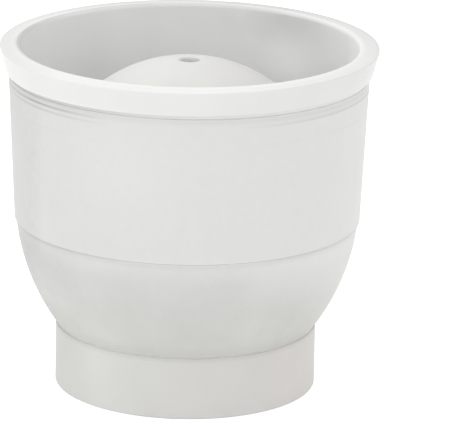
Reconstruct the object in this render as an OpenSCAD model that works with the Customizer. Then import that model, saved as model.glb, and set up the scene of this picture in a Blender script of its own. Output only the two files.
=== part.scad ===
// Ice ball mould: a double-walled cup that holds a two-part ball mould.
// The base of the foot stands on z = 0, and every piece turns about +Z.
// All sizes are in millimetres. Radii grow from the ball outwards and heights
// from the floor upwards, so a changed wall or clearance carries its neighbours.

/* [Ice ball] */
// Diameter of the ball that the two mould halves close around
ball_d = 65; // [58:1:72]

/* [Upper mould half] */
// Wall of the dome
upper_wall = 3.3; // [2.8:0.1:4]
// Bore of the fill hole in the top of the dome
fill_hole_d = 5; // [4:0.5:8]
// Rounding of the fill hole's outer edge
fill_hole_round = 0.4; // [0.2:0.1:1.2]
// Chamfer around the foot of the dome, which leads it into the collar
dome_chamfer = 0.5; // [0.2:0.1:0.8]

/* [Lower mould half] */
// Wall of the lower half under its flange
lower_wall = 2.8; // [2:0.1:3.4]
// Thickness of the flange that hangs in the inner cup
flange_t = 2.2; // [2:0.1:3.5]
// Chamfers around the edge of the flange, which lead it down to its ledge
flange_chamfer = 0.4; // [0.2:0.1:0.8]
// Height of the collar that centres the dome
collar_h = 3; // [1.5:0.5:6]
// Wall of the collar
collar_t = 0.9; // [0.7:0.1:1.6]
// How far the flange reaches out beyond the collar
flange_lip = 1.05; // [0.5:0.05:3]

/* [Mould seal] */
// Thickness of the round cord between the mould halves
seal_cord_d = 1.4; // [1:0.1:1.6]
// Free width beside the cord on each side of its groove
seal_side_gap = 0.1; // [0.05:0.05:0.2]

/* [Inner cup] */
// Wall of the inner cup
inner_wall = 1.2; // [1:0.1:2.2]
// Thickness of the ledge that carries the lower mould half
ledge_t = 1.2; // [1.1:0.1:2]
// How far the top of the dome lies below the rim
dome_drop = 3.8; // [1:0.1:10]
// Height of the flared rim band
rim_h = 6.3; // [5:0.05:9]
// How much lower the rim's outer edge lies than the crest at its inner edge
rim_fall = 0.25; // [0.1:0.05:1]
// How far the rim flares outwards from its lower edge
rim_flare = 1.45; // [0.5:0.05:4]
// How far the lower edge of the rim stands out from the outer cup
rim_step = 0.7; // [0.3:0.05:1.2]
// Rounding of the rim's outer upper edge
rim_round = 0.3; // [0.2:0.1:1.5]
// Rounding of the rim's inner upper edge
lip_round = 0.6; // [0.4:0.1:1.2]
// Height of the beads around the back of the inner cup
bead_h = 0.8; // [0.6:0.1:1]
// Depth of the upper sealing bead below the mouth of the outer cup
bead_depth = 1.3; // [1:0.1:3]
// Distance from one sealing bead to the next
bead_pitch = 1.2; // [1.1:0.1:4]

/* [Rim gasket] */
// Width of the gasket in the joint under the rim
gasket_w = 1.2; // [0.8:0.1:1.3]
// Height of the gasket, groove part included
gasket_h = 2.4; // [1.6:0.1:3]
// Open height of the joint under the rim
joint_h = 0.9; // [0.4:0.1:1.2]

/* [Outer cup] */
// Wall of the outer cup
outer_wall = 1.5; // [1.3:0.1:3]
// Draft of the straight walls of both cups, in degrees
draft = 2.5; // [1:0.1:4]
// Air gap between the straight walls of the two cups
wall_gap = 0.35; // [0.3:0.05:0.8]
// Air gap between the floors of the two cups
floor_gap = 1.8; // [1:0.1:4]
// Thickness of the floor
floor_t = 2.2; // [1.5:0.1:4]
// Height of the floor's underside above the table
floor_rise = 3.2; // [2.2:0.1:6]
// Rounding of the mouth's outer edge
mouth_round = 0.3; // [0.1:0.05:0.5]
// Chamfer on the mouth's inner edge
mouth_chamfer = 0.35; // [0.1:0.05:0.4]
// How far the bowl is set back under the straight wall, level with the ledge inside
belly_step = 0.3; // [0.2:0.05:0.6]
// Radius of the fine moulded line in the corner of that step
line_r = 0.2; // [0.15:0.05:0.4]
// Length of the spigot that the foot ring is pushed on to
spigot_h = 8; // [6:0.5:10]
// Wall of the spigot
spigot_wall = 1.6; // [1.2:0.1:2]
// Diameter of the shallow dimple under the floor where the moulding was filled
gate_d = 7; // [4:0.5:12]
// Depth of that dimple
gate_depth = 0.5; // [0.2:0.1:0.8]

/* [Foot ring] */
// Outer diameter of the foot
foot_d = 62.8; // [57:0.2:68]
// Height of the foot up to the crease under the bowl
foot_h = 15; // [13:0.5:18]
// Wall of the foot
foot_wall = 2.2; // [1.6:0.1:3]
// How far the top of the foot stands out from the bowl
foot_step = 0.4; // [0.2:0.05:1]
// Width of the foot's inward flange on the table
foot_flange_w = 3; // [1.5:0.1:5]
// Thickness of that flange
foot_flange_t = 1.8; // [1.2:0.1:2.2]
// Rounding of the foot's lower outer edge
foot_round = 0.3; // [0.2:0.1:1.6]
// Rounding of the foot's upper outer edge
foot_top_round = 0.3; // [0.1:0.05:0.5]
// Height of the snap bead above the bottom of the spigot
snap_rise = 2; // [1.2:0.1:4]
// Radius of the snap bead inside the foot
snap_r = 0.6; // [0.4:0.05:0.8]
// How far the snap bead stands into its groove
snap_reach = 0.35; // [0.2:0.05:0.4]

/* [Fits] */
// Clearance around pieces that lift out by hand
slip = 0.35; // [0.25:0.05:0.6]
// Clearance of pieces that are pushed together and stay
snug = 0.1; // [0.05:0.05:0.2]

/* [Hidden] */
$fn = 96;
arc_steps = 8;
bowl_steps = 30;

// Radii from the ball outwards
ball_r = ball_d / 2;
dome_r = ball_r + upper_wall;
lower_r = ball_r + lower_wall;
collar_in_r = dome_r + slip;
collar_r = collar_in_r + collar_t;
flange_r = collar_r + flange_lip;
bowl_in_r = lower_r + slip;
bowl_out_r = bowl_in_r + inner_wall;
hollow_r = bowl_out_r + floor_gap;
floor_r = hollow_r + floor_t;
fill_hole_r = fill_hole_d / 2;

// Heights from the floor upwards
ball_z = floor_rise + floor_r;
ball_c = [0, ball_z];
ledge_z = ball_z - flange_t;
step_z = ledge_z - ledge_t;
line_z = (ledge_z + step_z) / 2;
shelf_z = step_z - wall_gap;
rim_z = ball_z + dome_r + dome_drop;
band_z = rim_z - rim_h;
mouth_z = band_z - joint_h;

// Radii of the four straight wall faces at height z
function wall_r(z) = flange_r + slip + (z - ledge_z) * tan(draft);
function wall_back_r(z) = wall_r(z) + inner_wall;
function shell_r(z) = wall_back_r(z) + wall_gap;
function shell_back_r(z) = shell_r(z) + outer_wall;

// Rim, gasket and seal
band_r = shell_back_r(mouth_z) + rim_step;
rim_r = band_r + rim_flare;
gasket_r = shell_r(mouth_z) + outer_wall / 2;
seal_r = (ball_r + dome_r) / 2;
flare_angle = atan(rim_flare / (rim_h - rim_fall - rim_round));
lip_c = [wall_r(rim_z - lip_round) + lip_round, rim_z - lip_round];
edge_c = [rim_r - rim_round, rim_z - rim_fall - rim_round];
// Direction of the sloping top, which touches both roundings of the rim
top_angle = 90 + atan2(edge_c.y - lip_c.y, edge_c.x - lip_c.x)
    + asin((rim_round - lip_round) / norm(edge_c - lip_c));

// The bowl's arc starts beside the straight wall at the height of the ball's centre
// and ends at the crease above the foot, which fixes its radius and its centre
foot_r = foot_d / 2;
foot_in_r = foot_r - foot_wall;
spigot_r = foot_in_r - snug;
crease = [foot_r - foot_step, foot_h];
shoulder = [shell_back_r(ball_z) - belly_step, ball_z];
wall_normal = [-cos(draft), sin(draft)];
chord = shoulder - crease;
bowl_r = -(chord * chord) / (2 * chord * wall_normal);
bowl_c = shoulder + bowl_r * wall_normal;
function bowl_angle(z) = -asin((bowl_c.y - z) / bowl_r);

// Points of an arc around c, from angle a0 to angle a1
function arc(c, r, a0, a1, steps = arc_steps) =
    [for (i = [0:steps]) let (a = a0 + (a1 - a0) * i / steps) c + r * [cos(a), sin(a)]];

// Half of a disc about the axis, from height z0 up to z1
module half_disc(r, z0, z1) {
    intersection() {
        translate(ball_c) circle(r);
        translate([0, z0]) square([r, z1 - z0]);
    }
}

// Ring of plastic around the axis with a rectangular section
module band_section(r0, r1, z0, z1) {
    translate([r0, z0]) square([r1 - r0, z1 - z0]);
}

// Frosted cup with a straight wall, a rounded bowl and a spigot for the foot
module outer_cup() {
    spigot_z = foot_h - spigot_h;
    spigot_in_r = spigot_r - spigot_wall;
    line_a = bowl_angle(line_z);
    outside = concat(
        arc([shell_back_r(mouth_z) - mouth_round, mouth_z - mouth_round], mouth_round, 90, -draft),
        [[shell_back_r(line_z), line_z]],
        arc(bowl_c, bowl_r, line_a, bowl_angle(foot_h), bowl_steps),
        [[spigot_r, foot_h], [spigot_r, spigot_z], [spigot_in_r, spigot_z]],
        arc(ball_c, floor_r, -acos(spigot_in_r / floor_r), -90, bowl_steps));
    inside = concat(
        arc(ball_c, hollow_r, -90, -asin((ball_z - shelf_z) / hollow_r), bowl_steps),
        [[shell_r(shelf_z), shelf_z],
         [shell_r(mouth_z - mouth_chamfer), mouth_z - mouth_chamfer],
         [shell_r(mouth_z) + mouth_chamfer, mouth_z]]);
    gate = [[0, 0], [gate_d / 2, 0], [gate_d / 2, floor_rise],
            [gate_d / 2 - gate_depth, floor_rise + gate_depth], [0, floor_rise + gate_depth]];
    color("#dfdfdc") rotate_extrude() difference() {
        polygon(concat(outside, inside));
        polygon(gate);
        translate(bowl_c + bowl_r * [cos(line_a), sin(line_a)]) circle(line_r);
        translate([spigot_r + snap_r - snap_reach, spigot_z + snap_rise]) circle(snap_r + snug);
    }
}

// Foot that is pushed on to the spigot and snaps into its groove
module foot_ring() {
    snap_z = foot_h - spigot_h + snap_rise;
    outside = concat(
        [[foot_in_r - foot_flange_w, 0]],
        arc([foot_r - foot_round, foot_round], foot_round, -90, 0),
        arc([foot_r - foot_top_round, foot_h - foot_top_round], foot_top_round, 0, 90),
        [[foot_in_r, foot_h], [foot_in_r, foot_flange_t], [foot_in_r - foot_flange_w, foot_flange_t]]);
    color("#d5d3cf") rotate_extrude() {
        polygon(outside);
        translate([spigot_r + snap_r - snap_reach, snap_z]) circle(snap_r);
    }
}

// Outline of one bead around the back of the inner cup, from top to bottom
function bead(z) =
    let (reach = wall_gap - snug, a = 2 * atan(2 * reach / bead_h), r = bead_h / 2 / sin(a))
    arc([shell_r(z) - snug - r, z], r, a, -a);

// White inner cup: flared rim, sealing beads, straight wall, ledge and round bowl
module inner_cup() {
    groove_r0 = gasket_r - gasket_w / 2 - snug;
    groove_r1 = gasket_r + gasket_w / 2 + snug;
    groove_z = mouth_z + gasket_h + snug;
    rim = concat(
        arc(lip_c, lip_round, 180 - draft, top_angle),
        arc(edge_c, rim_round, top_angle, -flare_angle),
        [[band_r, band_z], [groove_r1, band_z], [groove_r1, groove_z], [groove_r0, groove_z],
         [groove_r0, band_z], [wall_back_r(band_z), band_z]]);
    back = concat(
        bead(mouth_z - bead_depth), bead(mouth_z - bead_depth - bead_pitch), bead(line_z),
        [[wall_back_r(step_z), step_z]],
        arc(ball_c, bowl_out_r, -asin((ball_z - step_z) / bowl_out_r), -90, bowl_steps));
    inside = concat(
        arc(ball_c, bowl_in_r, -90, -asin((ball_z - ledge_z) / bowl_in_r), bowl_steps),
        [[wall_r(ledge_z), ledge_z]]);
    color("#f2f2ef") rotate_extrude() polygon(concat(rim, back, inside));
}

// Soft ring in the joint between the rim and the mouth of the outer cup
module rim_gasket() {
    color("#dadad7") rotate_extrude()
        band_section(gasket_r - gasket_w / 2, gasket_r + gasket_w / 2, mouth_z, mouth_z + gasket_h);
}

// Lower half of the ball with the flange, the seal groove and the collar
module lower_mould() {
    groove_w = seal_cord_d + 2 * seal_side_gap;
    collar_top = [collar_r - collar_t / 2, ball_z + collar_h - collar_t / 2];
    flange = concat(
        [[0, ball_z], [0, ledge_z], [flange_r - flange_chamfer, ledge_z], [flange_r, ledge_z + flange_chamfer],
         [flange_r, ball_z - flange_chamfer], [flange_r - flange_chamfer, ball_z], [collar_r, ball_z]],
        arc(collar_top, collar_t / 2, 0, 180),
        [[collar_in_r, ball_z]]);
    color("#e9eae8") rotate_extrude() difference() {
        union() {
            half_disc(lower_r, 0, ball_z);
            polygon(flange);
        }
        half_disc(ball_r, 0, ball_z);
        band_section(seal_r - groove_w / 2, seal_r + groove_w / 2, ball_z - seal_cord_d - snug, ball_z);
    }
}

// Round cord that lies in the groove of the lower half
module mould_seal() {
    color("#dadad7") rotate_extrude()
        translate([seal_r, ball_z - seal_cord_d / 2 - snug]) circle(seal_cord_d / 2);
}

// Domed upper half with the fill hole
module upper_mould() {
    edge_r = fill_hole_r + fill_hole_round;
    edge_z = ball_z + sqrt(dome_r * dome_r - fill_hole_r * fill_hole_r);
    top_z = ball_z + dome_r;
    hole = concat(
        [[0, ball_z], [fill_hole_r, ball_z]],
        arc([edge_r, edge_z - fill_hole_round], fill_hole_round, 180, 90),
        [[edge_r, top_z], [0, top_z]]);
    chamfer = [[dome_r - dome_chamfer, ball_z], [dome_r, ball_z], [dome_r, ball_z + dome_chamfer]];
    color("#e8e8e5") rotate_extrude() difference() {
        half_disc(dome_r, ball_z, top_z);
        half_disc(ball_r, ball_z, top_z);
        polygon(hole);
        polygon(chamfer);
    }
}

outer_cup();
foot_ring();
inner_cup();
rim_gasket();
lower_mould();
mould_seal();
upper_mould();
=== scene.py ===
import math

import bpy
from mathutils import Euler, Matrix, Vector


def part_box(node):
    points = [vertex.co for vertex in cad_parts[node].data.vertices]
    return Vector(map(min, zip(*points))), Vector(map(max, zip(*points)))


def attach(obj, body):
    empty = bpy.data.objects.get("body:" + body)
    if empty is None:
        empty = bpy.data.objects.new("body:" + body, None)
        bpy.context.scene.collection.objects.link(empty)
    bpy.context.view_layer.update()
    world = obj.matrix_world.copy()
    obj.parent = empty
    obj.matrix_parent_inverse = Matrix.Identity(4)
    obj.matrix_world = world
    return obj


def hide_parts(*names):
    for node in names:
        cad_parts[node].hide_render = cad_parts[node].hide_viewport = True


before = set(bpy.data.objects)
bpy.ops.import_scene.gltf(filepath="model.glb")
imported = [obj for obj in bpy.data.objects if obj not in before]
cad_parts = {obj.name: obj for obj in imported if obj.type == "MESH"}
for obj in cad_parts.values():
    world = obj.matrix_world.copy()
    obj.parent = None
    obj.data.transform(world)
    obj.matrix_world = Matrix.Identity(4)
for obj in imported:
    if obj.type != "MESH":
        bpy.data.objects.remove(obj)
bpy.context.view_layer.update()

# Outer cup
# The real piece is the frosted shell that the hand holds: a straight drafted wall, a rounded
# bowl and a short spigot under it. It is injection moulded in milky polypropylene, and the
# inner cup stands close behind its wall, while the foot is pushed over its spigot.
mm = 0.001
cup_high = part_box("outer_cup")[1]
foot_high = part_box("foot_ring")[1]
inner_low, inner_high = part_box("inner_cup")
ball_c = Vector((0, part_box("upper_mould")[0].z))
draft = math.radians(2.5)
mouth_r = cup_high.x
mouth_z = cup_high.z
cup_wall = 1.5 * mm
mouth_round = 0.3 * mm
mouth_chamfer = 0.35 * mm
belly_step = 0.3 * mm
line_drop = 2.8 * mm
line_r = 0.2 * mm
line_z = ball_c.y - line_drop
shelf_drop = 3.75 * mm
shelf_z = ball_c.y - shelf_drop
bowl_gap = 1.8 * mm
floor_t = 2.2 * mm
hollow_r = ball_c.y - inner_low.z + bowl_gap
floor_r = hollow_r + floor_t
gate_r = 3.5 * mm
gate_depth = 0.5 * mm
gate_z = ball_c.y - floor_r + gate_depth
foot_step = 0.4 * mm
foot_wall = 2.2 * mm
crease_round = 0.08 * mm
spigot_slip = 0.1 * mm
spigot_wall = 1.6 * mm
spigot_h = 8.0 * mm
spigot_r = foot_high.x - foot_wall - spigot_slip
spigot_in_r = spigot_r - spigot_wall
spigot_z = foot_high.z - spigot_h
snap_rise = 2.0 * mm
snap_half = 0.65 * mm
snap_depth = 0.45 * mm
snap_z = spigot_z + snap_rise
ring_steps = 192


def arc(centre, radius, start, end, steps):
    """Points of an arc in the (radius, height) plane, from one angle to another."""
    turn = [start + (end - start) * i / steps for i in range(steps + 1)]
    return [centre + radius * Vector((math.cos(a), math.sin(a))) for a in turn]


def turned(name, outline, edge):
    """Extrudes a point along an outline, spins it about the axis and rounds its edges."""
    bpy.ops.object.select_all(action="DESELECT")
    bpy.ops.mesh.primitive_plane_add(size=mm)
    piece = bpy.context.object
    piece.name = name
    piece.data.name = name
    bpy.ops.object.mode_set(mode="EDIT")
    bpy.ops.mesh.merge(type="CENTER")
    points = [Vector((p[0], 0, p[1])) for p in outline]
    bpy.ops.transform.translate(value=points[0])
    for here, there in zip(points, points[1:]):
        bpy.ops.mesh.extrude_region_move(TRANSFORM_OT_translate={"value": there - here})
    bpy.ops.mesh.select_all(action="SELECT")
    bpy.ops.mesh.spin(steps=ring_steps, angle=math.tau, center=(0, 0, 0), axis=(0, 0, 1))
    bpy.ops.mesh.select_all(action="SELECT")
    bpy.ops.mesh.remove_doubles(threshold=mm / 1000)
    bpy.ops.mesh.normals_make_consistent(inside=False)
    bpy.ops.object.mode_set(mode="OBJECT")
    bevel = piece.modifiers.new("edge", "BEVEL")
    bevel.width = edge
    bevel.segments = 3
    bevel.limit_method = "ANGLE"
    bevel.angle_limit = math.radians(35)
    bpy.ops.object.modifier_apply(modifier=bevel.name)
    bpy.ops.object.shade_smooth_by_angle(angle=math.radians(40))
    even = piece.modifiers.new("even", "WEIGHTED_NORMAL")
    even.keep_sharp = True
    bpy.ops.object.modifier_apply(modifier=even.name)
    return piece


def fit(piece, body, node):
    """Lets a piece move with a body, and hides the solid that it stands for."""
    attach(piece, body)
    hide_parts(node)


def new_finish(piece, name):
    """Gives a piece a new material and returns its empty node tree."""
    material = bpy.data.materials.new(name)
    material.use_nodes = True
    material.node_tree.nodes.clear()
    piece.data.materials.append(material)
    return material.node_tree


def hex_colour(code):
    """Linear colour of an sRGB hex value."""
    parts = [int(code[i:i + 2], 16) / 255 for i in (1, 3, 5)]
    return [c / 12.92 if c <= 0.04045 else ((c + 0.055) / 1.055) ** 2.4 for c in parts] + [1.0]


def add(tree, kind, sockets=None, stops=(), out=0, **settings):
    """Adds a node with its settings, sockets and colour stops, and returns one of its outputs.

    Sockets have a value or a link, by name or by number. Those of Map Range are 0 for the value,
    1 and 2 for the range that it comes from, and 3 and 4 for the range that it goes to.
    """
    node = tree.nodes.new(kind)
    for name, value in settings.items():
        setattr(node, name, value)
    for key, value in (sockets or {}).items():
        if isinstance(value, bpy.types.NodeSocket):
            tree.links.new(value, node.inputs[key])
        else:
            node.inputs[key].default_value = value
    if stops:
        ramp = node.color_ramp.elements
        ramp.remove(ramp[1])
    for count, (at, code) in enumerate(stops):
        stop = ramp.new(at) if count else ramp[0]
        stop.position = at
        stop.color = hex_colour(code)
    return node.outputs[out] if node.outputs else node


def streak(tree, along, at, half, depth=1.0):
    """A soft line across a coordinate: its depth at the middle, and nothing half a width away."""
    off = add(tree, "ShaderNodeMath", {0: along, 1: at}, operation="SUBTRACT")
    off = add(tree, "ShaderNodeMath", {0: off}, operation="ABSOLUTE")
    return add(tree, "ShaderNodeMapRange", {0: off, 1: half, 2: 0.0, 4: depth})


def patch(tree, point, middle, far, near, depth):
    """A soft round patch: its depth up to the near distance from its middle, nothing at the far one."""
    off = add(tree, "ShaderNodeVectorMath", {0: point, 1: middle}, out="Value", operation="DISTANCE")
    return add(tree, "ShaderNodeMapRange", {0: off, 1: far, 2: near, 4: depth})


def cup_r(z):
    """Radius of the straight wall's outside at height z."""
    return mouth_r - (mouth_z - z) * math.tan(draft)


def bowl_angle(z):
    """Angle of the point at height z on the arc of the bowl's outside."""
    return -math.asin((bowl_c.y - z) / bowl_r)


wall_normal = Vector((-math.cos(draft), math.sin(draft)))
shoulder = Vector((cup_r(ball_c.y) - belly_step, ball_c.y))
crease = Vector((foot_high.x - foot_step, foot_high.z))
chord = shoulder - crease
bowl_r = -chord.length_squared / (2 * chord.dot(wall_normal))
bowl_c = shoulder + bowl_r * wall_normal
line_a = bowl_angle(line_z)
line_c = bowl_c + bowl_r * Vector((math.cos(line_a), math.sin(line_a)))
crease_a = bowl_angle(foot_high.z)
crease_reach = crease_round / math.tan(math.radians(45) + crease_a / 2)
crease_c = crease + Vector((crease_reach, crease_round))
bowl_start_a = crease_a + crease_reach / bowl_r
bowl_end_a = line_a - line_r / bowl_r
mouth_c = Vector((mouth_r - mouth_round, mouth_z - mouth_round))
gate_a = -math.acos(gate_r / floor_r)
spigot_a = -math.acos(spigot_in_r / floor_r)
shelf_a = -math.asin((ball_c.y - shelf_z) / hollow_r)
cup_outline = [(0, gate_z), (gate_r - gate_depth, gate_z)]
cup_outline += arc(ball_c, floor_r, gate_a, spigot_a, steps=20)
cup_outline += [(spigot_in_r, spigot_z), (spigot_r, spigot_z), (spigot_r, snap_z - snap_half)]
cup_outline += [(spigot_r - snap_depth, snap_z), (spigot_r, snap_z + snap_half), (spigot_r, foot_high.z)]
cup_outline += arc(crease_c, crease_round, math.radians(-90), crease_a - math.pi, steps=4)
cup_outline += arc(bowl_c, bowl_r, bowl_start_a, bowl_end_a, steps=36)[1:]
cup_outline += arc(line_c, line_r, line_a + math.radians(270), 0, steps=10)[1:]
cup_outline += [(cup_r(line_z), line_z)]
cup_outline += arc(mouth_c, mouth_round, -draft, math.radians(90), steps=4)
cup_outline += [(mouth_r - cup_wall + mouth_chamfer, mouth_z)]
cup_outline += [(cup_r(mouth_z - mouth_chamfer) - cup_wall, mouth_z - mouth_chamfer)]
cup_outline += [(cup_r(shelf_z) - cup_wall, shelf_z)]
cup_outline += arc(ball_c, hollow_r, shelf_a, math.radians(-90), steps=40)
cup = turned("frosted_cup", cup_outline, edge=0.12 * mm)
fit(cup, "cup", "outer_cup")

# Frosted polypropylene, moulded: milky and slightly translucent with a soft sheen. The white
# inner cup shows through as a paler wall above the belly line, and the thicker wall below it as
# a greyer bowl. The grain of the frosted tool is too fine to show, so it is drawn coarser.
tree = new_finish(cup, "frosted_polypropylene")
place = add(tree, "ShaderNodeTexCoord", out="Object")
parts = add(tree, "ShaderNodeSeparateXYZ", {0: place}).node.outputs
spread = add(tree, "ShaderNodeMath", {0: parts["X"]}, operation="ABSOLUTE")
upright = add(tree, "ShaderNodeVectorMath", {0: place, 1: (1.0, 0.0, 1.0)}, operation="MULTIPLY")
bowl_blend = 2 * mm
bowl = add(tree, "ShaderNodeMapRange", {0: parts["Z"], 1: line_z, 2: line_z - bowl_blend})
wall = add(tree, "ShaderNodeMath", {0: 1.0, 1: bowl}, operation="SUBTRACT")

# Tone from the crease to the mouth, by shares of that height, with a step at the belly line. Painted
# shade darkens it just above the crease, just under the belly line and just under the mouth, and a
# painted highlight pales the crease itself
line_at = (line_z - foot_high.z) / (mouth_z - foot_high.z)
climb = add(tree, "ShaderNodeMapRange", {0: parts["Z"], 1: foot_high.z, 2: mouth_z})
tone = add(tree, "ShaderNodeValToRGB", {0: climb}, stops=(
    (0.0, "#fafaf6"), (0.006, "#e5e5e1"), (0.02, "#dfdfdb"), (0.06, "#e4e4e0"),
    (line_at * 0.5, "#e3e3e0"), (line_at - 0.03, "#eaeae8"), (line_at - 0.004, "#e5e5e3"),
    (line_at + 0.004, "#ebebe9"), (0.97, "#ebebe9"), (0.988, "#e6e6e4"), (1.0, "#ebebe9")))

# Haze, stronger in the thick bowl than in the wall; less of it to the upper right is painted light
haze_size = 11 * mm
haze_blend = 6 * mm
haze_wall = 0.03
haze_bowl = 0.12
haze_kept = 0.35
lit_side_low = line_z + 5 * mm
lit_side_high = line_z + 28 * mm
haze = add(tree, "ShaderNodeTexNoise", {0: place, "Scale": 1 / haze_size, "Detail": 8.0})
below = add(tree, "ShaderNodeMapRange",
            {0: parts["Z"], 1: line_z, 2: line_z - haze_blend, 3: haze_wall, 4: haze_bowl})
shade = add(tree, "ShaderNodeMath", {0: haze, 1: below}, operation="MULTIPLY")
# Painted light: the haze is kept less towards the upper right
slant = add(tree, "ShaderNodeMath", {0: parts["X"], 1: parts["Z"]}, operation="ADD")
clear = add(tree, "ShaderNodeMapRange", {0: slant, 1: lit_side_low, 2: lit_side_high, 3: 1.0, 4: haze_kept})
shade = add(tree, "ShaderNodeMath", {0: shade, 1: clear}, operation="MULTIPLY")

# Flow marks, drawn out up the wall, and fine specks
flow_size = 3 * mm
flow_stretch = 20
flow_depth = 0.02
speck_size = 1.8 * mm
speck_depth = 0.04
tall = add(tree, "ShaderNodeMapping", {0: place, "Scale": (1.0, 1.0, 1 / flow_stretch)})
flow = add(tree, "ShaderNodeTexNoise", {0: tall, "Scale": 1 / flow_size, "Detail": 2.0})
shade = add(tree, "ShaderNodeMath", {0: flow, 1: flow_depth, 2: shade}, operation="MULTIPLY_ADD")
speck = add(tree, "ShaderNodeTexNoise", {0: place, "Scale": 1 / speck_size, "Detail": 3.0})
shade = add(tree, "ShaderNodeMath", {0: speck, 1: speck_depth, 2: shade}, operation="MULTIPLY_ADD")

# Painted shade at both ends of the cup, where the wall turns away: where each starts and is full, in
# mm across, and its depth
for start, full, depth in ((-34, -42, 0.12), (37, 42, 0.025)):
    end = add(tree, "ShaderNodeMapRange", {0: parts["X"], 1: start * mm, 2: full * mm, 4: depth})
    shade = add(tree, "ShaderNodeMath", {0: shade, 1: end}, operation="ADD")

# A speckled upright trace near the left end
trace_x = -36.5 * mm
trace_half = 3 * mm
trace_depth = 0.06
trace = streak(tree, parts["X"], trace_x, trace_half, trace_depth)
shade = add(tree, "ShaderNodeMath", {0: trace, 1: speck, 2: shade}, operation="MULTIPLY_ADD")

# Painted light: the bowl is drawn paler towards both sides
side_start = 10 * mm
side_full = 30 * mm
side_depth = -0.035
side = add(tree, "ShaderNodeMapRange", {0: spread, 1: side_start, 2: side_full, 4: side_depth})
shade = add(tree, "ShaderNodeMath", {0: side, 1: bowl, 2: shade}, operation="MULTIPLY_ADD")

# Painted light and shade in soft patches: darker by the crease at both sides and under the belly line
# at the left, paler elsewhere. Place across and size in mm, height, depth, and the region that each
# keeps to
crease_patch_z = foot_high.z + 2 * mm
belly_patch_z = line_z - 3 * mm
wall_patch_z = line_z + 22 * mm
for x, size, z, depth, region in ((-39, 16, belly_patch_z, 0.115, bowl),
                                  (-33, 9, crease_patch_z, 0.22, bowl),
                                  (-18, 11, crease_patch_z, -0.045, bowl),
                                  (28, 14, crease_patch_z, 0.13, bowl),
                                  (-16, 20, wall_patch_z, -0.045, wall)):
    cloud_and_light = patch(tree, upright, (x * mm, 0.0, z), size * mm, 0.0, depth)
    shade = add(tree, "ShaderNodeMath", {0: cloud_and_light, 1: region, 2: shade}, operation="MULTIPLY_ADD")

# Painted shade in the belly line at the sides, and painted light that pales it in the middle
line_paint_half = 0.6 * mm
line_paint_start = 14 * mm
line_paint_full = 38 * mm
line_light_middle = -0.13
line_shade_side = 0.16
groove = streak(tree, parts["Z"], line_z - line_r, line_paint_half)
line_light_and_shade = add(tree, "ShaderNodeMapRange",
           {0: spread, 1: line_paint_start, 2: line_paint_full, 3: line_light_middle, 4: line_shade_side})
shade = add(tree, "ShaderNodeMath", {0: groove, 1: line_light_and_shade, 2: shade}, operation="MULTIPLY_ADD")

# Painted light: the whole cup is drawn paler to the right
cup_light_left = 0.965
cup_light_right = 1.07
cup_light = add(tree, "ShaderNodeMapRange",
           {0: parts["X"], 1: -mouth_r, 2: mouth_r, 3: cup_light_left, 4: cup_light_right})
keep = add(tree, "ShaderNodeMath", {0: cup_light, 1: shade}, operation="SUBTRACT")

# The sealing beads press on the wall from behind and show as fine lines. Their strength at both ends
# is painted shade, and the line nearest the mouth is painted shade in the joint at the left and
# painted light at the right: depth under the mouth and half width in mm, and how dark at each end
left_start = -18 * mm
left_full = -34 * mm
fade_start = -36 * mm
fade_full = -43 * mm
fade_least = 0.4
right_start = 12 * mm
right_full = 40 * mm
left = add(tree, "ShaderNodeMapRange", {0: parts["X"], 1: left_start, 2: left_full})
fade = add(tree, "ShaderNodeMapRange", {0: parts["X"], 1: fade_start, 2: fade_full, 3: 1.0, 4: fade_least})
left = add(tree, "ShaderNodeMath", {0: left, 1: fade}, operation="MULTIPLY")
right = add(tree, "ShaderNodeMapRange", {0: parts["X"], 1: right_start, 2: right_full})
for under, half, at_left, at_right in ((0.2, 0.5, 0.1, -0.06), (1.1, 1.1, 0.0, 0.08),
                                       (1.35, 0.45, 0.38, 0.0), (2.3, 0.5, 0.0, 0.22),
                                       (2.6, 0.45, 0.19, 0.0), (6.9, 0.4, 0.03, 0.03)):
    line = streak(tree, parts["Z"], mouth_z - under * mm, half * mm)
    dark = add(tree, "ShaderNodeMath", {0: left, 1: at_left}, operation="MULTIPLY")
    dark = add(tree, "ShaderNodeMath", {0: right, 1: at_right, 2: dark}, operation="MULTIPLY_ADD")
    dark = add(tree, "ShaderNodeMath", {0: line, 1: dark}, operation="MULTIPLY")
    keep = add(tree, "ShaderNodeMath", {0: keep, 1: dark}, operation="SUBTRACT")

# Finish: duller where it is hazy
cup_grain = 0.8 * mm
cup_rough_clear = 0.42
cup_rough_hazy = 0.56
colour = add(tree, "ShaderNodeMix", {0: 1.0, 6: tone, 7: keep}, out=2,
             data_type="RGBA", blend_type="MULTIPLY")
gloss = add(tree, "ShaderNodeMapRange", {0: haze, 3: cup_rough_clear, 4: cup_rough_hazy})
grain = add(tree, "ShaderNodeTexNoise", {0: place, "Scale": 1 / cup_grain, "Detail": 2.0})
bump = add(tree, "ShaderNodeBump", {"Height": grain, "Strength": 0.15, "Distance": 0.05 * mm})
skin = add(tree, "ShaderNodeBsdfPrincipled", {
    "Base Color": colour, "Roughness": gloss, "Normal": bump, "IOR": 1.49,
    "Subsurface Weight": 0.2, "Subsurface Radius": (1.0, 1.0, 0.95), "Subsurface Scale": 2 * mm,
    "Sheen Weight": 0.08, "Sheen Roughness": 0.5})
add(tree, "ShaderNodeOutputMaterial", {0: skin})

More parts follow.
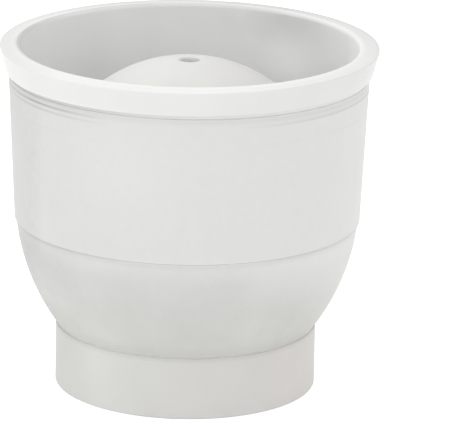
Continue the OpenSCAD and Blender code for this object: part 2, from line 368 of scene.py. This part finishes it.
# Foot ring
# The real piece is a plain round band of soft elastomer, moulded on its own, pushed over the
# spigot from below and held by a snap bead. It stands a little proud of the bowl above it.
foot_r = foot_high.x
foot_in_r = foot_r - foot_wall
flange_w = 3.0 * mm
flange_t = 1.8 * mm
flange_in_r = foot_in_r - flange_w
foot_round = 0.3 * mm
foot_top_round = 0.15 * mm
foot_bead_half = 0.5 * mm
foot_bead_out = 0.3 * mm
foot_low_c = Vector((foot_r - foot_round, foot_round))
foot_top_c = Vector((foot_r - foot_top_round, foot_high.z - foot_top_round))
foot_outline = [(flange_in_r, 0)]
foot_outline += arc(foot_low_c, foot_round, math.radians(-90), 0, steps=6)
foot_outline += arc(foot_top_c, foot_top_round, 0, math.radians(90), steps=4)
foot_outline += [(foot_in_r, foot_high.z), (foot_in_r, snap_z + foot_bead_half)]
foot_outline += [(foot_in_r - foot_bead_out, snap_z), (foot_in_r, snap_z - foot_bead_half)]
foot_outline += [(foot_in_r, flange_t), (flange_in_r, flange_t), (flange_in_r, 0)]
foot = turned("foot_band", foot_outline, edge=0.12 * mm)
fit(foot, "cup", "foot_ring")

# Thermoplastic elastomer, moulded: opaque, slightly warm grey-white with a dull satin skin. It
# yellows a little with age, more on one side, and its left end is painted darker as shade. Painted
# shade also darkens its top edge under the bowl. Its fine grain is drawn coarser, so that it shows.
noise_low = 0.3
noise_high = 0.7
foot_cloud = 14 * mm
foot_dark = 0.98
foot_pale = 1.03
foot_grain = 0.7 * mm
crease_shade_h = 1.2 * mm
crease_shade_depth = 0.12
tree = new_finish(foot, "foot_elastomer")
place = add(tree, "ShaderNodeTexCoord", out="Object")
parts = add(tree, "ShaderNodeSeparateXYZ", {0: place}).node.outputs
across = add(tree, "ShaderNodeMapRange", {0: parts["X"], 1: -foot_r, 2: foot_r})
# Yellowing with age, more to the right, and painted shade at the left end
age_and_shade = add(tree, "ShaderNodeValToRGB", {0: across}, stops=(
    (0.0, "#d6d6d2"), (0.15, "#e0e0dd"), (0.55, "#dddcd9"), (0.9, "#e2dfdb")))
cloud_and_light = add(tree, "ShaderNodeTexNoise", {0: place, "Scale": 1 / foot_cloud, "Detail": 4.0})
keep = add(tree, "ShaderNodeMapRange", {0: cloud_and_light, 1: noise_low, 2: noise_high, 3: foot_dark, 4: foot_pale})
# Painted shade along the top edge, under the bowl
crease_shade = add(tree, "ShaderNodeMapRange",
           {0: parts["Z"], 1: foot_high.z - crease_shade_h, 2: foot_high.z, 4: crease_shade_depth})
keep = add(tree, "ShaderNodeMath", {0: keep, 1: crease_shade}, operation="SUBTRACT")
colour = add(tree, "ShaderNodeMix", {0: 1.0, 6: age_and_shade, 7: keep}, out=2,
             data_type="RGBA", blend_type="MULTIPLY")
grain = add(tree, "ShaderNodeTexNoise", {0: place, "Scale": 1 / foot_grain, "Detail": 2.0})
bump = add(tree, "ShaderNodeBump", {"Height": grain, "Strength": 0.15, "Distance": 0.05 * mm})
skin = add(tree, "ShaderNodeBsdfPrincipled", {
    "Base Color": colour, "Roughness": 0.55, "Normal": bump, "IOR": 1.5,
    "Subsurface Weight": 0.1, "Subsurface Radius": (1.0, 0.95, 0.9), "Subsurface Scale": 1.5 * mm})
add(tree, "ShaderNodeOutputMaterial", {0: skin})

# Inner cup
# The real piece is the white cup that hangs in the frosted one by its flared rim. It is
# moulded in white polypropylene, with a ledge for the mould and a round bowl below it.
mould_low, mould_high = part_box("lower_mould")
gasket_low, gasket_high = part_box("rim_gasket")
inner_wall = 1.2 * mm
wall_gap = 0.35 * mm
slip = 0.35 * mm
snug = 0.1 * mm
rim_r = inner_high.x
rim_z = inner_high.z
rim_h = 6.3 * mm
rim_fall = 0.25 * mm
rim_flare = 1.45 * mm
rim_round = 0.3 * mm
lip_round = 1.0 * mm
band_z = rim_z - rim_h
band_r = rim_r - rim_flare
flare = math.atan(rim_flare / (rim_h - rim_fall - rim_round))
ledge_drop = 2.2 * mm
ledge_t = 1.2 * mm
ledge_z = ball_c.y - ledge_drop
step_z = ledge_z - ledge_t
gasket_w = 1.2 * mm
bead_h = 0.8 * mm
bead_drop = 1.3 * mm
bead_pitch = 1.2 * mm
bead_steps = 6
bead_z = mouth_z - bead_drop
bowl_out_r = ball_c.y - inner_low.z
bowl_in_r = bowl_out_r - inner_wall


def inner_r(z):
    """Radius of the inner cup's inside face at height z."""
    return mould_high.x + slip + (z - ledge_z) * math.tan(draft)


def sealing_bead(z):
    """Points down a bead around the back of the wall, which presses on the frosted cup."""
    base = Vector((inner_r(z) + inner_wall, z))
    rise = wall_gap - snug
    turn = [math.radians(90) - math.pi * i / bead_steps for i in range(bead_steps + 1)]
    return [base + Vector((rise * math.cos(a), bead_h / 2 * math.sin(a))) for a in turn]


lip_c = Vector((inner_r(rim_z - lip_round) + lip_round, rim_z - lip_round))
edge_c = Vector((rim_r - rim_round, rim_z - rim_fall - rim_round))
rim_run = edge_c - lip_c
top_a = math.radians(90) + math.atan2(rim_run.y, rim_run.x)
top_a += math.asin((rim_round - lip_round) / rim_run.length)
groove_in_r = gasket_high.x - gasket_w - snug
groove_out_r = gasket_high.x + snug
groove_z = gasket_high.z + snug
ledge_a = -math.asin((ball_c.y - ledge_z) / bowl_in_r)
step_a = -math.asin((ball_c.y - step_z) / bowl_out_r)
inner_outline = arc(ball_c, bowl_in_r, math.radians(-90), ledge_a, steps=40)
inner_outline += [(inner_r(ledge_z), ledge_z)]
inner_outline += arc(lip_c, lip_round, math.pi - draft, top_a, steps=8)
inner_outline += arc(edge_c, rim_round, top_a, -flare, steps=8)
inner_outline += [(band_r, band_z), (groove_out_r, band_z), (groove_out_r, groove_z)]
inner_outline += [(groove_in_r, groove_z), (groove_in_r, band_z), (inner_r(band_z) + inner_wall, band_z)]
inner_outline += sealing_bead(bead_z) + sealing_bead(bead_z - bead_pitch) + sealing_bead(line_z)
inner_outline += [(inner_r(step_z) + inner_wall, step_z)]
inner_outline += arc(ball_c, bowl_out_r, step_a, math.radians(-90), steps=40)
inner = turned("white_inner_cup", inner_outline, edge=0.15 * mm)
fit(inner, "liner", "inner_cup")

# White polypropylene, moulded: a satin white with faint flow marks. The rim is painted brightest,
# as light that passes through it would make it, a painted highlight runs along its top, painted
# shade lies on its top behind and to the right and on the lip's inner corner, and the inside carries
# painted light and shade. These colours are laid out about a centre a little to the left, so the
# painted shade of the lip's edge lies to the left.
shade_shift = 0.6 * mm
tree = new_finish(inner, "white_polypropylene")
coords = add(tree, "ShaderNodeTexCoord").node.outputs
place = coords["Object"]
parts = add(tree, "ShaderNodeSeparateXYZ", {0: place}).node.outputs
spread = add(tree, "ShaderNodeMath", {0: parts["X"]}, operation="ABSOLUTE")
upright = add(tree, "ShaderNodeVectorMath", {0: place, 1: (1.0, 0.0, 1.0)}, operation="MULTIPLY")
# The colours centre a little to the left, which moves the painted shade on the lip's edge
shifted_place = add(tree, "ShaderNodeMapping", {0: place, "Location": (shade_shift, 0, 0), "Scale": (1, 1, 0)})
radius = add(tree, "ShaderNodeVectorMath", {0: shifted_place}, out="Value", operation="LENGTH")
reach = add(tree, "ShaderNodeMapRange", {0: radius, 1: inner_r(ledge_z), 2: rim_r})

# Faces that look into the cup, faces of the rim's band, and the back of the wall under it
inside_turn = 8 * mm
outside_turn = 4 * mm
under_blend = 0.1 * mm
facing = add(tree, "ShaderNodeVectorMath", {0: coords["Normal"], 1: shifted_place}, out="Value",
             operation="DOT_PRODUCT")
inside = add(tree, "ShaderNodeMapRange", {0: facing, 1: 0.0, 2: -inside_turn})
outside = add(tree, "ShaderNodeMapRange", {0: facing, 1: 0.0, 2: outside_turn})
under = add(tree, "ShaderNodeMapRange", {0: parts["Z"], 1: band_z + under_blend, 2: band_z})
hidden = add(tree, "ShaderNodeMath", {0: outside, 1: under}, operation="MULTIPLY")
band = add(tree, "ShaderNodeMath", {0: outside, 1: hidden}, operation="SUBTRACT")

# Tone from the inner wall to the rim's edge, by shares of that width: painted shade on the lip's
# inner rounding at the crest, and a painted highlight along the top just outside it
crest_at = (inner_r(rim_z) - inner_r(ledge_z)) / (rim_r - inner_r(ledge_z))
tone = add(tree, "ShaderNodeValToRGB", {0: reach}, stops=(
    (0.0, "#edeeed"), (crest_at - 0.05, "#e9eae9"), (crest_at, "#e3e4e3"),
    (crest_at + 0.07, "#eaebe9"), (crest_at + 0.14, "#f8f8f6"), (1.0, "#f4f4f3")))
tone = add(tree, "ShaderNodeMix", {0: hidden, 6: tone, 7: hex_colour("#eeefed")}, out=2, data_type="RGBA")

# Flow marks, drawn out up the wall
flow_size = 9 * mm
flow_stretch = 12.5
flow_dark = 0.975
tall = add(tree, "ShaderNodeMapping", {0: place, "Scale": (1.0, 1.0, 1 / flow_stretch)})
flow = add(tree, "ShaderNodeTexNoise", {0: tall, "Scale": 1 / flow_size, "Detail": 3.0})
keep = add(tree, "ShaderNodeMapRange", {0: flow, 1: noise_low, 2: noise_high, 3: flow_dark, 4: 1.0})

# Painted shade on the rim's flat top, greyer behind and to the right, with one patch at the front right
top_shade = 0.26
top_shade_half = 40 * mm
top_shade_left_x = -42 * mm
top_shade_right_x = 5 * mm
top_shade_left = 0.2
top_shade_right = 0.7
front_shade_at = (27 * mm, -32 * mm, 0.0)
front_shade_far = 20 * mm
front_shade_near = 4 * mm
front_shade_depth = 0.05
flat_start = crest_at + 0.15
flat_full = crest_at + 0.35
outer_start = crest_at + 0.28
outer_full = crest_at + 0.5
behind = add(tree, "ShaderNodeMapRange", {0: parts["Y"], 1: -top_shade_half, 2: top_shade_half, 4: top_shade})
uneven = add(tree, "ShaderNodeMapRange",
             {0: parts["X"], 1: top_shade_left_x, 2: top_shade_right_x, 3: top_shade_left, 4: top_shade_right})
behind = add(tree, "ShaderNodeMath", {0: behind, 1: uneven}, operation="MULTIPLY")
flat = add(tree, "ShaderNodeMapRange", {0: reach, 1: flat_start, 2: flat_full})
outer = add(tree, "ShaderNodeMapRange", {0: reach, 1: outer_start, 2: outer_full})
front_shade = patch(tree, shifted_place, front_shade_at, front_shade_far, front_shade_near, front_shade_depth)
front_shade = add(tree, "ShaderNodeMath", {0: front_shade, 1: outer}, operation="MULTIPLY")
rim_shade = add(tree, "ShaderNodeMath", {0: flat, 1: behind, 2: front_shade}, operation="MULTIPLY_ADD")

# From the crest outwards, painted shade behind and at the left end: start and end in mm, and depth
crest_start = crest_at - 0.02
crest_full = crest_at + 0.06
crest = add(tree, "ShaderNodeMapRange", {0: reach, 1: crest_start, 2: crest_full})
for along, start, full, depth in ((parts["Y"], 20, 36, 0.085), (parts["X"], -30, -40, 0.06)):
    outer_shade = add(tree, "ShaderNodeMapRange", {0: along, 1: start * mm, 2: full * mm, 4: depth})
    rim_shade = add(tree, "ShaderNodeMath", {0: crest, 1: outer_shade, 2: rim_shade}, operation="MULTIPLY_ADD")

# The painted shade keeps to the top, and behind it runs on over the rim's outer edge
top_low = rim_z - 0.8 * mm
top_high = rim_z - 0.5 * mm
edge_start = 0.94
edge_full = 0.98
edge_share = 0.4
top = add(tree, "ShaderNodeMapRange", {0: parts["Z"], 1: top_low, 2: top_high})
rim_shade = add(tree, "ShaderNodeMath", {0: top, 1: rim_shade}, operation="MULTIPLY")
edge = add(tree, "ShaderNodeMapRange", {0: reach, 1: edge_start, 2: edge_full, 4: edge_share})
rim_shade = add(tree, "ShaderNodeMath", {0: edge, 1: behind, 2: rim_shade}, operation="MULTIPLY_ADD")
keep = add(tree, "ShaderNodeMath", {0: keep, 1: rim_shade}, operation="SUBTRACT")

# Painted shade makes the rim's band greyer at both ends, where it turns away, and painted light
# pales its middle; a painted highlight makes its lower hem paler at the left
band_middle = 0.012
band_end = -0.03
band_start_x = 33 * mm
band_end_x = 42 * mm
hem_h = 0.9 * mm
hem_highlight = 0.07
hem_full_x = -25 * mm
turn = add(tree, "ShaderNodeMapRange",
           {0: spread, 1: band_start_x, 2: band_end_x, 3: band_middle, 4: band_end})
hem_light = add(tree, "ShaderNodeMapRange", {0: parts["Z"], 1: band_z + hem_h, 2: band_z, 4: hem_highlight})
left = add(tree, "ShaderNodeMapRange", {0: parts["X"], 1: 0.0, 2: hem_full_x})
turn = add(tree, "ShaderNodeMath", {0: hem_light, 1: left, 2: turn}, operation="MULTIPLY_ADD")
keep = add(tree, "ShaderNodeMath", {0: turn, 1: band, 2: keep}, operation="MULTIPLY_ADD")

# Painted light makes the inside paler at both ends: where that starts and is full, in mm across, and
# by how much
inside_light = 0.0
for start, full, change in ((37.8, 39.6, 0.14), (24, 37, 0.06), (-5, -38, 0.03)):
    pale_light = add(tree, "ShaderNodeMapRange", {0: parts["X"], 1: start * mm, 2: full * mm, 4: change})
    inside_light = add(tree, "ShaderNodeMath", {0: inside_light, 1: pale_light}, operation="ADD")

# Painted light and shade in patches on the inside: place across and depth under the rim, in mm, and
# how much paler
inside_patch_far = 9 * mm
inside_patch_near = 1 * mm
for x, drop, change in ((21, 1, -0.13), (29, 1, -0.13), (21, 8, 0.04), (25, 13, 0.11), (-24, 14, -0.05)):
    cloud_and_light = patch(tree, upright, (x * mm, 0.0, rim_z - drop * mm), inside_patch_far, inside_patch_near, change)
    inside_light = add(tree, "ShaderNodeMath", {0: inside_light, 1: cloud_and_light}, operation="ADD")

# The lip's inner corner has none of this painted light, and painted shade at the front left instead
lip_low = rim_z - 0.9 * mm
lip_high = rim_z - 0.5 * mm
lip_start = -14 * mm
lip_full = -34 * mm
lip_shade = -0.25
lip = add(tree, "ShaderNodeMapRange", {0: parts["Z"], 1: lip_low, 2: lip_high})
corner = add(tree, "ShaderNodeVectorMath", {0: place, 1: (1.0, 0.5, 0.0)}, out="Value",
             operation="DOT_PRODUCT")
corner = add(tree, "ShaderNodeMapRange", {0: corner, 1: lip_start, 2: lip_full, 4: lip_shade})
inside_light = add(tree, "ShaderNodeMix", {0: lip, 2: inside_light, 3: corner})
keep = add(tree, "ShaderNodeMath", {0: inside_light, 1: inside, 2: keep}, operation="MULTIPLY_ADD")

# Finish: a satin skin, duller along the flow marks, with a fine grain drawn coarser
inner_grain = 1.2 * mm
inner_rough_low = 0.3
inner_rough_high = 0.4
colour = add(tree, "ShaderNodeMix", {0: 1.0, 6: tone, 7: keep}, out=2,
             data_type="RGBA", blend_type="MULTIPLY")
gloss = add(tree, "ShaderNodeMapRange", {0: flow, 3: inner_rough_low, 4: inner_rough_high})
grain = add(tree, "ShaderNodeTexNoise", {0: place, "Scale": 1 / inner_grain, "Detail": 2.0})
bump = add(tree, "ShaderNodeBump", {"Height": grain, "Strength": 0.1, "Distance": 0.04 * mm})
skin = add(tree, "ShaderNodeBsdfPrincipled", {
    "Base Color": colour, "Roughness": gloss, "Normal": bump, "IOR": 1.49,
    "Subsurface Weight": 0.15, "Subsurface Radius": (1.0, 1.0, 1.0), "Subsurface Scale": 1.5 * mm})
add(tree, "ShaderNodeOutputMaterial", {0: skin})

# Rim gasket
# The real piece is a moulded silicone ring in a groove under the rim. It carries the inner
# cup on the mouth of the frosted one and shows as a soft grey line in the joint.
bulge = 0.08 * mm
gasket_in_r = gasket_high.x - gasket_w
gasket_mid_z = (gasket_low.z + band_z) / 2
gasket_outline = [(gasket_in_r, gasket_low.z), (gasket_high.x - bulge, gasket_low.z)]
gasket_outline += [(gasket_high.x, gasket_mid_z), (gasket_high.x - bulge, band_z)]
gasket_outline += [(gasket_high.x, gasket_high.z), (gasket_in_r, gasket_high.z)]
gasket_outline += [(gasket_in_r, gasket_low.z)]
gasket = turned("joint_gasket", gasket_outline, edge=0.1 * mm)
fit(gasket, "liner", "rim_gasket")

# Silicone rubber, moulded: a soft pale grey with a dull skin and a fine mottle. It is drawn almost
# white in the middle and to the right, painted light that pales the shade in the joint, and greyer at
# the left, painted shade.
mottle_size = 4 * mm
mottle_dark = 0.96
tree = new_finish(gasket, "grey_silicone")
place = add(tree, "ShaderNodeTexCoord", out="Object")
parts = add(tree, "ShaderNodeSeparateXYZ", {0: place}).node.outputs
across = add(tree, "ShaderNodeMapRange", {0: parts["X"], 1: -gasket_high.x, 2: gasket_high.x})
# Painted light in the middle and to the right, painted shade at the left
tone = add(tree, "ShaderNodeValToRGB", {0: across}, stops=(
    (0.0, "#e4e4e1"), (0.15, "#e2e2df"), (0.5, "#f8f8f6"), (1.0, "#fcfcfa")))
mottle = add(tree, "ShaderNodeTexNoise", {0: place, "Scale": 1 / mottle_size, "Detail": 4.0})
keep = add(tree, "ShaderNodeMapRange", {0: mottle, 1: noise_low, 2: noise_high, 3: mottle_dark, 4: 1.0})
colour = add(tree, "ShaderNodeMix", {0: 1.0, 6: tone, 7: keep}, out=2,
             data_type="RGBA", blend_type="MULTIPLY")
skin = add(tree, "ShaderNodeBsdfPrincipled", {"Base Color": colour, "Roughness": 0.6, "IOR": 1.41})
add(tree, "ShaderNodeOutputMaterial", {0: skin})

# Lower mould half
# The real piece is the lower half of the ball, moulded in white silicone. Its flange hangs on
# the inner cup's ledge, and its thin collar centres the dome over the seal groove.
ball_r = 32.5 * mm
hole_r = 2.5 * mm
dome_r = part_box("upper_mould")[1].x
seal_low, seal_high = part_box("mould_seal")
lower_r = ball_c.y - mould_low.z
collar_t = 0.9 * mm
collar_r = dome_r + slip + collar_t
collar_c = Vector((collar_r - collar_t / 2, mould_high.z - collar_t / 2))
flange_chamfer = 0.4 * mm
seal_gap = 0.1 * mm
seal_cord = seal_high.z - seal_low.z
seal_r = seal_high.x - seal_cord / 2
groove_half = seal_cord / 2 + seal_gap
flange_a = -math.asin((ball_c.y - ledge_z) / lower_r)
lower_outline = arc(ball_c, ball_r, math.radians(-90), 0, steps=40)
lower_outline += [(seal_r - groove_half, ball_c.y), (seal_r - groove_half, seal_low.z)]
lower_outline += [(seal_r + groove_half, seal_low.z), (seal_r + groove_half, ball_c.y)]
lower_outline += [(collar_r - collar_t, ball_c.y)]
lower_outline += arc(collar_c, collar_t / 2, math.pi, 0, steps=8)
lower_outline += [(collar_r, ball_c.y), (mould_high.x - flange_chamfer, ball_c.y)]
lower_outline += [(mould_high.x, ball_c.y - flange_chamfer), (mould_high.x, ledge_z + flange_chamfer)]
lower_outline += [(mould_high.x - flange_chamfer, ledge_z)]
lower_outline += arc(ball_c, lower_r, flange_a, math.radians(-90), steps=40)
lower = turned("lower_ball_half", lower_outline, edge=0.12 * mm)
fit(lower, "lower_half", "lower_mould")

# White silicone, moulded in a polished tool: a warm white with a soft, slightly waxy skin, painted a
# little paler to the left as light. The fill hole's bore is painted paler too, as light against the
# shade in it. The fine grain is drawn coarser, so that it shows.
wax_size = 16 * mm
silicone_grain = 1.0 * mm
silicone_rough_low = 0.4
silicone_rough_high = 0.5
bore_light_start = hole_r + 0.2 * mm
bore_light_full = hole_r + 0.05 * mm
dome_light_half = 25 * mm
dome_light_left = 1.09
dome_light_right = 0.90
tree = new_finish(lower, "white_silicone")
place = add(tree, "ShaderNodeTexCoord", out="Object")
parts = add(tree, "ShaderNodeSeparateXYZ", {0: place}).node.outputs
wax = add(tree, "ShaderNodeTexNoise", {0: place, "Scale": 1 / wax_size, "Detail": 4.0})
tone = add(tree, "ShaderNodeValToRGB", {0: wax}, stops=((noise_low, "#e5e3e1"), (noise_high, "#e9e9e6")))
level = add(tree, "ShaderNodeVectorMath", {0: place, 1: (1.0, 1.0, 0.0)}, operation="MULTIPLY")
radius = add(tree, "ShaderNodeVectorMath", {0: level}, out="Value", operation="LENGTH")
# Painted light in the fill hole's bore
bore_light = add(tree, "ShaderNodeMapRange", {0: radius, 1: bore_light_start, 2: bore_light_full})
tone = add(tree, "ShaderNodeMix", {0: bore_light, 6: tone, 7: hex_colour("#ededea")}, out=2, data_type="RGBA")
# Painted light: paler to the left
pale_light = add(tree, "ShaderNodeMapRange",
           {0: parts["X"], 1: -dome_light_half, 2: dome_light_half, 3: dome_light_left, 4: dome_light_right})
colour = add(tree, "ShaderNodeMix", {0: 1.0, 6: tone, 7: pale_light}, out=2,
             data_type="RGBA", blend_type="MULTIPLY")
gloss = add(tree, "ShaderNodeMapRange", {0: wax, 3: silicone_rough_low, 4: silicone_rough_high})
grain = add(tree, "ShaderNodeTexNoise", {0: place, "Scale": 1 / silicone_grain, "Detail": 2.0})
bump = add(tree, "ShaderNodeBump", {"Height": grain, "Strength": 0.1, "Distance": 0.04 * mm})
skin = add(tree, "ShaderNodeBsdfPrincipled", {
    "Base Color": colour, "Roughness": gloss, "Normal": bump, "IOR": 1.41,
    "Subsurface Weight": 0.25, "Subsurface Radius": (1.0, 0.95, 0.9), "Subsurface Scale": 2 * mm})
add(tree, "ShaderNodeOutputMaterial", {0: skin})

# Mould seal
# The real piece is a round silicone cord, joined to a ring, that lies in the groove of the
# lower half and closes the ball's equator. Its upper side is pressed a little flat.
seal_flat = math.radians(55)
seal_c = Vector((seal_r, seal_low.z + seal_cord / 2))
seal_outline = arc(seal_c, seal_cord / 2, math.pi - seal_flat, math.tau + seal_flat, steps=20)
seal_outline += [seal_outline[0]]
seal = turned("seam_cord", seal_outline, edge=0.05 * mm)
seal.data.materials.append(gasket.data.materials[0])
fit(seal, "lower_half", "mould_seal")

# Upper mould half
# The real piece is the white silicone dome that closes the ball. It stands on the lower half
# inside the collar, and water goes in through the fill hole in its top, which has a rounded edge.
hole_round = 0.4 * mm
dome_chamfer = 0.5 * mm
hole_c = Vector((hole_r + hole_round, math.sqrt(dome_r ** 2 - hole_r ** 2) - hole_round))
hole_meet = (dome_r ** 2 - hole_c.length_squared - hole_round ** 2) / (2 * hole_c.length * hole_round)
hole_a = math.atan2(hole_c.y, hole_c.x) + math.acos(hole_meet)
hole_edge = arc(ball_c + hole_c, hole_round, math.pi, hole_a, steps=4)
dome_start_a = math.acos(hole_edge[-1].x / dome_r)
dome_end_a = math.asin(dome_chamfer / dome_r)
dome_outline = arc(ball_c, ball_r, 0, math.acos(hole_r / ball_r), steps=40) + hole_edge
dome_outline += arc(ball_c, dome_r, dome_start_a, dome_end_a, steps=48)[1:]
dome_outline += [(dome_r - dome_chamfer, ball_c.y), (ball_r, ball_c.y)]
dome = turned("upper_ball_dome", dome_outline, edge=0.1 * mm)
dome.data.materials.append(lower.data.materials[0])
fit(dome, "upper_half", "upper_mould")

# Studio
# A wide white floor and a white surround, lit by soft lamps from above and the left. The floor
# and the surround show as white, and the floor still takes the shadow of the foot.
floor_size = 8.0
floor_drop = 0.05 * mm
floor_lift = 0.55
sky_level = 0.86
lamp_aim = Vector((0, 0, 45 * mm))


def seen_rays(tree):
    """1 for what the camera, a reflection or a see-through surface shows, and 0 for the light."""
    path = add(tree, "ShaderNodeLightPath").node.outputs
    seen = add(tree, "ShaderNodeMath", {0: path["Is Camera Ray"], 1: path["Is Glossy Ray"]},
               operation="MAXIMUM")
    return add(tree, "ShaderNodeMath", {0: seen, 1: path["Is Transmission Ray"]}, operation="MAXIMUM")


bpy.ops.object.select_all(action="DESELECT")
bpy.ops.mesh.primitive_plane_add(size=floor_size, location=(0, 0, -floor_drop))
floor = bpy.context.object
floor.name = "studio_floor"
tree = new_finish(floor, "white_paper")
lift = add(tree, "ShaderNodeMath", {0: seen_rays(tree), 1: floor_lift}, operation="MULTIPLY")
matt = add(tree, "ShaderNodeBsdfDiffuse", {"Color": hex_colour("#efefef")})
shine = add(tree, "ShaderNodeEmission", {"Strength": lift})
paper = add(tree, "ShaderNodeAddShader", {0: matt, 1: shine})
add(tree, "ShaderNodeOutputMaterial", {0: paper})

world = bpy.data.worlds.new("white_surround")
bpy.context.scene.world = world
world.use_nodes = True
tree = world.node_tree
tree.nodes.clear()
level = add(tree, "ShaderNodeMapRange", {0: seen_rays(tree), 3: sky_level, 4: 1.0})
sky = add(tree, "ShaderNodeBackground", {"Color": hex_colour("#ffffff"), "Strength": level})
add(tree, "ShaderNodeOutputWorld", {0: sky})

# Lamps: name, place and size in metres, and power in watts
for name, stand_at, size, power in (("top_lamp", (-0.2, -0.5, 1.0), 0.9, 1.4),
                                    ("left_lamp", (-0.9, -0.5, 0.5), 0.7, 0.9)):
    lamp = bpy.data.lights.new(name, "AREA")
    lamp.size = size
    lamp.energy = power
    stand = bpy.data.objects.new(name, lamp)
    bpy.context.scene.collection.objects.link(stand)
    stand.location = stand_at
    stand.rotation_euler = (lamp_aim - Vector(stand_at)).to_track_quat("-Z", "Y").to_euler()

# Camera
# It stands in front at the photograph's height and distance, and leans as the photograph does.
# Its angles are in radians.
view_aim = Vector((0, 0, 40.5 * mm))
view_distance = 1044.53 * mm
view_rise = 0.287241
view_pan = -0.009762
view_tilt = -0.000916
view_roll = 0.015564
lens = bpy.data.cameras.new("photo_camera")
lens.sensor_width = 36.0
lens.lens = 340.72
camera = bpy.data.objects.new("photo_camera", lens)
bpy.context.scene.collection.objects.link(camera)
camera.location = view_aim + view_distance * Vector((0, -math.cos(view_rise), math.sin(view_rise)))
lean = Euler((math.pi / 2 - view_rise, 0, 0)).to_matrix() @ Euler((0, view_pan, 0)).to_matrix()
lean = lean @ Euler((view_tilt, 0, 0)).to_matrix() @ Euler((0, 0, view_roll)).to_matrix()
camera.rotation_euler = lean.to_euler()
bpy.context.scene.camera = camera
bpy.context.scene.view_settings.view_transform = "Standard"
